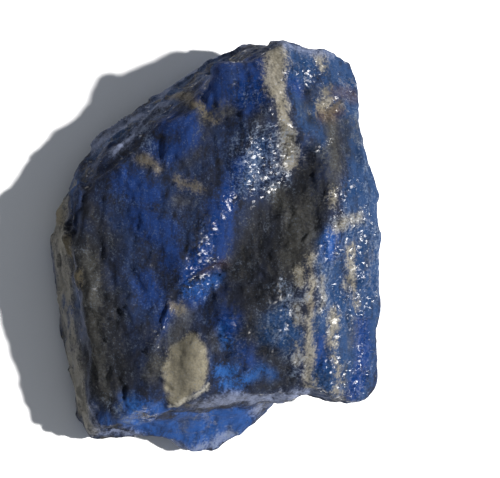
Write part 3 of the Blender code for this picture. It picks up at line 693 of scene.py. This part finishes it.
def breakSurface(skin, finish):
    tree = brokenSkinTree()
    step = skin.modifiers.new("brokenSkin", "NODES")
    step.node_group = tree
    for item in tree.interface.items_tree:
        if item.in_out == "INPUT" and item.name in brokenSkin:
            step[item.identifier] = brokenSkin[item.name]
        if item.in_out == "INPUT" and item.name == "Finish":
            step[item.identifier] = finish
    keepResult(skin)


def keepInside(skin):
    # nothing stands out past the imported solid's box
    mesh = skin.data
    points = readPoints(mesh) * mm
    points = np.clip(points, np.array(cadBox[0]), np.array(cadBox[1]))
    mesh.vertices.foreach_set("co", points.ravel())
    mesh.update()
    for polygon in mesh.polygons:
        polygon.use_smooth = True


# Colours are linear. A mark's edge is broken up by the mottling.
lapisRock = {
    "navy": (0.0050, 0.0085, 0.0235, 1.0),
    "deepNavy": (0.0035, 0.0045, 0.0085, 1.0),
    "blue": (0.0055, 0.0150, 0.0500, 1.0),
    "steelBlue": (0.0070, 0.0280, 0.0840, 1.0),
    "vividBlue": (0.0012, 0.0175, 0.0920, 1.0),
    "brightBlue": (0.0080, 0.0440, 0.1700, 1.0),
    "cyanBlue": (0.0070, 0.0560, 0.2050, 1.0),
    "darkRock": (0.0070, 0.0075, 0.0090, 1.0),
    "darkRockBrown": (0.0240, 0.0235, 0.0215, 1.0),
    "olive": (0.0460, 0.0455, 0.0400, 1.0),
    "tan": (0.1080, 0.0980, 0.0720, 1.0),
    "tanPale": (0.2050, 0.1880, 0.1480, 1.0),
    "gold": (0.1150, 0.0950, 0.0540, 1.0),
    "rust": (0.0650, 0.0390, 0.0290, 1.0),
    "egg": (0.1480, 0.1340, 0.0960, 1.0),
    "eggDark": (0.0950, 0.0870, 0.0660, 1.0),
    "lip": (0.2600, 0.2500, 0.2150, 1.0),
    "veil": (0.1300, 0.1530, 0.2300, 1.0),
    "dust": (0.1850, 0.1770, 0.1520, 1.0),
    "mist": (0.0900, 0.1180, 0.1700, 1.0),
    "patchSize": 4.6,       # millimetres, from the broad patches down to the specks
    "bandSize": 5.5,
    "mottleSize": 1.5,
    "streakSize": 0.9,
    "fineSize": 0.50,
    "speckSize": 0.24,
    "facetSize": 0.48,      # the crystals that glint
    "facetTilt": 0.66,
    "facetStretch": (0.62, 1.0, 1.0),
    "pitSize": 1.1,
    "pitting": 0.08,        # depth of the fine relief between the crystals
    "shine": 0.21,
    "dullRoughness": 0.90,
    "glintRoughness": 0.19,
}


def lapisFinish():
    material = bpy.data.materials.new("lapisLazuli")
    material.use_nodes = True
    tree = material.node_tree
    bench = NodeBench(tree)
    shader = tree.nodes["Principled BSDF"]
    rock = lapisRock

    where = bench.add("ShaderNodeTexCoord", None, None, 3)
    place = bench.stretch(where, (1 / mm, 1 / mm, 1 / mm))
    along = bench.stretch(place, (1.0, 0.58, 0.8))

    patches = bench.cloud(along, rock["patchSize"], 3.0, 0.55, 1.0)
    mottle = bench.cloud(along, rock["mottleSize"], 5.0, 0.70, 2.0)
    fine = bench.cloud(place, rock["fineSize"], 4.0, 0.75, 3.0)
    streaks = bench.cloud(bench.stretch(place, (1.0, 0.26, 0.5)), rock["streakSize"], 4.0, 0.6, 4.0)

    def marked(name):
        return bench.add("ShaderNodeAttribute", {"attribute_name": name}, None, 2)

    def shows(name, fray, soft, gain=1.0):
        edge = marked(name) + (mottle - 0.5) * fray * 2.0 + (fine - 0.5) * fray * 2.2
        return bench.step(edge, -soft, soft) * gain

    # blue rock, from the ground mass to the bright patches
    ground = patches + (mottle - 0.5) * 0.8 + (fine - 0.5) * 0.7
    colour = bench.blend(bench.step(ground, 0.36, 0.62), rock["navy"], rock["blue"])
    colour = bench.blend(bench.step(mottle, 0.52, 0.34) * 0.6, colour, rock["deepNavy"])
    colour = bench.blend(shows("steelBlue", 3.0, 1.5, 0.88), colour, rock["steelBlue"])
    colour = bench.blend(shows("vividBlue", 2.4, 1.5, 0.90), colour, rock["vividBlue"])
    colour = bench.blend(shows("brightBlue", 2.4, 1.3, 0.90), colour, rock["brightBlue"])
    colour = bench.blend(shows("cyanBlue", 2.6, 1.2, 0.88), colour, rock["cyanBlue"])
    shade = bench.step(streaks + (fine - 0.5) * 0.6, 0.53, 0.33)
    colour = bench.blend(shade * 0.50, colour, rock["deepNavy"])

    # the steep sides show the same bands cut across
    flank = bench.step(marked("upright") + (mottle - 0.5) * 0.6, 0.45, 0.10)
    bands = bench.cloud(bench.stretch(place, (1.0, 0.35, 0.25)), rock["bandSize"], 3.0, 0.55, 8.0)
    bands = bands + (fine - 0.5) * 0.25
    colour = bench.blend(flank * bench.step(bands, 0.46, 0.62) * 0.75, colour, rock["steelBlue"])
    colour = bench.blend(flank * bench.step(bands, 0.56, 0.72) * 0.70, colour, rock["brightBlue"])
    colour = bench.blend(flank * bench.step(bands, 0.46, 0.34) * 0.75, colour, rock["darkRockBrown"])
    seam = abs(bands - 0.50) + (mottle - 0.5) * 0.10
    colour = bench.blend(flank * bench.step(seam, 0.018, 0.000) * 0.55, colour, rock["tan"])

    # dark rock, veins, stains and the pale body
    grainy = bench.step(streaks + (fine - 0.5) * 0.9, 0.46, 0.74)
    darkMix = bench.blend(grainy, rock["darkRock"], rock["darkRockBrown"])
    colour = bench.blend(shows("darkRock", 3.4, 2.2, 0.86), colour, darkMix)
    oliveMix = bench.blend(bench.step(fine + mottle, 0.80, 1.15), rock["darkRockBrown"], rock["olive"])
    colour = bench.blend(shows("oliveRock", 2.8, 1.6, 0.62), colour, oliveMix)
    tanMix = bench.blend(bench.step(fine + mottle, 0.86, 1.26), rock["tan"], rock["tanPale"])
    tanMix = bench.blend(bench.step(mottle, 0.48, 0.34) * 0.6, tanMix, rock["olive"])
    colour = bench.blend(shows("tanVeins", 2.8, 1.1, 0.82), colour, tanMix)
    shaded = bench.step(mottle + (fine - 0.5) * 0.6, 0.60, 0.36)
    eggMix = bench.blend(shaded, rock["egg"], rock["eggDark"])
    colour = bench.blend(shows("eggBody", 1.1, 0.8, 0.93), colour, eggMix)
    colour = bench.blend(shows("paleLip", 0.9, 0.5, 0.70), colour, rock["lip"])

    # grey dust on the steep sides and ledges, painted shade in the dents and cracks, a paler mist in the blue
    # with painted sheen where the crystals glint and along the edges, and pale specks that are partly painted
    # glints
    dusty = flank * bench.step(patches, 0.44, 0.66) * 0.55
    veil = bench.maths("MAXIMUM", shows("greyVeil", 1.6, 1.2), dusty)
    veil = veil * bench.step(fine + mottle + streaks, 0.95, 1.75) * 0.88
    colour = bench.blend(veil, colour, rock["veil"])
    dust = shows("oliveDust", 2.0, 1.6, 0.85)
    colour = bench.blend(dust * bench.step(fine + mottle + streaks, 1.05, 1.65), colour, rock["dust"])
    colour = bench.blend(shows("goldStains", 2.6, 1.1, 0.62), colour, rock["gold"])
    colour = bench.blend(shows("rustStains", 2.2, 1.2, 0.38), colour, rock["rust"])
    # painted shade: darker navy in the dents and cracks, where shade falls
    relief = marked("relief") + marked("carving")
    colour = bench.blend(bench.step(relief, -0.35, -1.20) * 0.45, colour, rock["deepNavy"])
    # paler mist, boosted as painted sheen in the glinting zones and along the edges
    sheenAndMistZone = shows("paintedSheenAndMist", 2.4, 1.8)
    mist = bench.step(fine + (mottle - 0.5) * 0.6 + sheenAndMistZone * 0.12, 0.56, 0.78)
    colour = bench.blend(mist * (0.45 + sheenAndMistZone * 0.15), colour, rock["mist"])
    # pale specks: partly pale grains, partly painted fine glints
    specksAndGlints = bench.cloud(place, rock["speckSize"], 2.0, 0.6, 9.0) + (mottle - 0.5) * 0.3
    specksAndGlints = bench.step(specksAndGlints, 0.58, 0.72)
    colour = bench.blend(specksAndGlints * 0.34, colour, rock["mist"])

    # crystals with flat faces; where the rock is fresh many of them are polished and glint
    fresh = shows("glints", 2.0, 1.4)
    crystals, chance = bench.facets(bench.stretch(place, rock["facetStretch"]), rock["facetSize"], 2.0)
    polished = bench.step(chance, 0.46 - fresh * 0.80, 0.50 - fresh * 0.80)
    crystals = crystals * rock["facetTilt"] * (0.30 + fresh * 0.70)
    pits = (bench.cloud(place, rock["pitSize"], 6.0, 0.72, 6.0) - 0.5) * rock["pitting"]
    pits = pits + (fine - 0.5) * 0.05
    bump = bench.add("ShaderNodeBump", None, {"Strength": 1.0, "Distance": mm, "Height": crystals + pits})
    gloss = rock["dullRoughness"] - rock["glintRoughness"]
    roughness = rock["dullRoughness"] - polished * gloss + (mottle - 0.5) * 0.15
    bench.feed(shader, {"Base Color": colour, "Roughness": roughness, "Normal": bump})
    bench.feed(shader, {"Specular IOR Level": rock["shine"]})
    return material


def makeStone():
    finish = lapisFinish()
    stone = fineSkin("lapis_lump")
    print("fine skin:", len(stone.data.vertices), "points")
    carveBreak(stone)
    print("break lines carved:", len(breakLines))
    breakSurface(stone, finish)
    keepInside(stone)
    print("stone finished:", sum(len(face.vertices) - 2 for face in stone.data.polygons), "triangles")
    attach(stone, "root")
    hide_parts("lapis_lump")


# A plain table, a key light from the right and a pale sky
studio = {
    "tableSize": 4.0,
    "tableColour": (0.86, 0.87, 0.89, 1.0),
    "tableRoughness": 0.8,
    "keyHeight": 52.0,        # degrees above the table
    "keyTurn": 0.0,           # degrees round from +X
    "keyDistance": 1.5,
    "keySize": 0.10,
    "keyPower": 62.0,
    "keyColour": (1.0, 0.97, 0.93),
    "skyColour": (0.80, 0.85, 0.92, 1.0),
    "skyStrength": 0.30,
}


def makeStudio():
    half = studio["tableSize"] / 2
    mesh = bpy.data.meshes.new("table")
    corners = [(-half, -half, 0), (half, -half, 0), (half, half, 0), (-half, half, 0)]
    mesh.from_pydata(corners, [], [(0, 1, 2, 3)])
    table = bpy.data.objects.new("table", mesh)
    bpy.context.scene.collection.objects.link(table)
    finish = bpy.data.materials.new("paleTable")
    finish.use_nodes = True
    bench = NodeBench(finish.node_tree)
    sockets = {"Base Color": studio["tableColour"], "Roughness": studio["tableRoughness"]}
    bench.feed(finish.node_tree.nodes["Principled BSDF"], sockets)
    mesh.materials.append(finish)

    height, turn = math.radians(studio["keyHeight"]), math.radians(studio["keyTurn"])
    reach = math.cos(height)
    towards = Vector((reach * math.cos(turn), reach * math.sin(turn), math.sin(height)))
    lamp = bpy.data.lights.new("keyLight", "AREA")
    lamp.shape = "DISK"
    lamp.size = studio["keySize"]
    lamp.energy = studio["keyPower"]
    lamp.color = studio["keyColour"]
    key = bpy.data.objects.new("keyLight", lamp)
    key.location = towards * studio["keyDistance"]
    key.rotation_euler = towards.to_track_quat("Z", "Y").to_euler()
    bpy.context.scene.collection.objects.link(key)

    world = bpy.data.worlds.new("sky")
    world.use_nodes = True
    background = world.node_tree.nodes["Background"]
    background.inputs["Color"].default_value = studio["skyColour"]
    background.inputs["Strength"].default_value = studio["skyStrength"]
    bpy.context.scene.world = world
    bpy.context.scene.view_settings.view_transform = "Standard"


# The camera looks down on the stone, leaning a little towards its left side
viewpoint = {
    "aim": (11.4, 2.5, 0.0),
    "distance": 350.0,
    "tilt": 17.0,
    "towards": 192.0,
    "lens": 116.375,
    "sensor": 36.0,
    "nearest": 10.0,
}


def makeCamera():
    tilt, towards = math.radians(viewpoint["tilt"]), math.radians(viewpoint["towards"])
    flat = math.sin(tilt)
    back = Vector((flat * math.cos(towards), flat * math.sin(towards), math.cos(tilt)))
    right = Vector((0, 1, 0)).cross(back).normalized()
    up = back.cross(right)
    eye = (Vector(viewpoint["aim"]) + back * viewpoint["distance"]) * mm
    camera = bpy.data.cameras.new("camera")
    camera.lens = viewpoint["lens"]
    camera.sensor_width = viewpoint["sensor"]
    camera.clip_start = viewpoint["nearest"] * mm
    holder = bpy.data.objects.new("camera", camera)
    holder.matrix_world = Matrix(
        [(right[axis], up[axis], back[axis], eye[axis]) for axis in range(3)] + [(0, 0, 0, 1)]
    )
    bpy.context.scene.collection.objects.link(holder)
    bpy.context.scene.camera = holder


makeStudio()
makeCamera()
makeStone()
